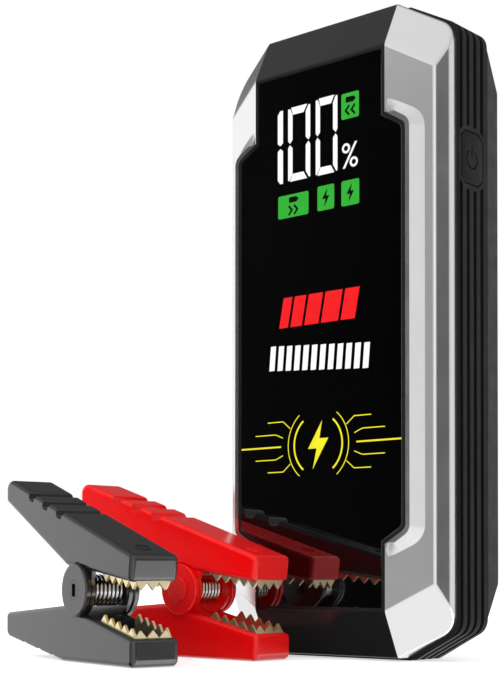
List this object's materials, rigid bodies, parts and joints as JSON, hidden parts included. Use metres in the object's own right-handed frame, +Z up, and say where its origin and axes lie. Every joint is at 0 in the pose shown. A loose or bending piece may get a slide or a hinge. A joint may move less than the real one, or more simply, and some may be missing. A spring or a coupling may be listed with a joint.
{
  "type": "jump starter pack",
  "caption": "Handheld car jump starter pack with a glass display front, silver side trims and a ribbed rubber band, and its black and red toothed battery clamps.",
  "frame": {"origin": "middle of the pack's flat lower end, on the surface that it stands on", "axes": "+X to the right as one faces the display, -Y out of the display, +Z up"},
  "size_m": [0.1598, 0.1215, 0.2322],
  "materials": {
    "black_gloss_frame": "satin black moulded frame",
    "silver_paint": "fine silver paint with soft sheen",
    "display_glass": "polished black panel",
    "display_board": "circuit board",
    "black_rubber": "soft matte rubber",
    "black_shell": "finely grained black plastic",
    "screw_steel": "zinc plated",
    "button_black": "smooth satin",
    "switch_black": "moulded",
    "cover_rubber": "soft matte rubber",
    "pin_steel": "ground",
    "bezel_black": "moulded",
    "socket_blue": "moulded nylon",
    "contact_brass": "gold flashed",
    "port_steel": "tinned steel",
    "torch_clear": "ribbed clear window",
    "torch_white": "white board with light emitters",
    "cell_foil": "laminated foil pouch",
    "circuit_green": "solder mask",
    "black_clamp_plastic": "moulded gloss",
    "red_clamp_plastic": "moulded gloss",
    "tooth_brass": "brass plated copper",
    "spring_steel": "bright drawn wire",
    "black_pin": "moulded sleeve",
    "red_pin": "moulded sleeve"
  },
  "bodies": {
    "pack": {"front_shell": "black_gloss_frame", "left_trim": "silver_paint", "right_trim": "silver_paint", "display_glass": "display_glass", "display_module": "display_board", "ribbed_band": "black_rubber", "back_shell": "black_shell", "case_screws": "screw_steel", "button_switch": "switch_black", "cover_pin": "pin_steel", "port_bezel": "bezel_black", "output_socket": "socket_blue", "socket_contacts": "contact_brass", "usb_a_port": "port_steel", "usb_c_port": "port_steel", "torch_window": "torch_clear", "torch_board": "torch_white", "battery_cells": "cell_foil", "main_board": "circuit_green"},
    "button": {"power_button": "button_black"},
    "port_door": {"port_cover": "cover_rubber"},
    "black_clamp": {"black_lower_lever": "black_clamp_plastic", "black_lower_jaw": "tooth_brass", "black_spring": "spring_steel", "black_pivot_pin": "black_pin"},
    "black_clamp_top": {"black_upper_lever": "black_clamp_plastic", "black_upper_jaw": "tooth_brass"},
    "red_clamp": {"red_lower_lever": "red_clamp_plastic", "red_lower_jaw": "tooth_brass", "red_spring": "spring_steel", "red_pivot_pin": "red_pin"},
    "red_clamp_top": {"red_upper_lever": "red_clamp_plastic", "red_upper_jaw": "tooth_brass"}
  },
  "joints": [
    {"name": "button_press", "type": "slide", "parent": "pack", "child": "button", "axis": [-1, 0, 0], "range_m": [0, 0.0008], "stiffness_N_per_m": 1500, "springref_m": -0.0004},
    {"name": "port_cover_hinge", "type": "hinge", "parent": "pack", "child": "port_door", "pos_m": [-0.04935, 0.00695, 0.078], "axis": [0, 0, -1], "range_deg": [0, 100]},
    {"name": "black_clamp_lift", "type": "slide", "parent": "pack", "child": "black_clamp", "axis": [0, 0, 1], "range_m": [0, 0.25]},
    {"name": "black_jaw_hinge", "type": "hinge", "parent": "black_clamp", "child": "black_clamp_top", "pos_m": [-0.05, -0.081, 0.025], "axis": [-0.2419, -0.9703, 0], "range_deg": [-17, 28], "stiffness_Nm_per_rad": 1.2, "deforming": ["black_spring"]},
    {"name": "red_clamp_lift", "type": "slide", "parent": "pack", "child": "red_clamp", "axis": [0, 0, 1], "range_m": [0, 0.25]},
    {"name": "red_jaw_hinge", "type": "hinge", "parent": "red_clamp", "child": "red_clamp_top", "pos_m": [-0.046, -0.036, 0.025], "axis": [-0.0419, -0.9991, 0], "range_deg": [-17, 28], "stiffness_Nm_per_rad": 1.2, "deforming": ["red_spring"]}
  ]
}
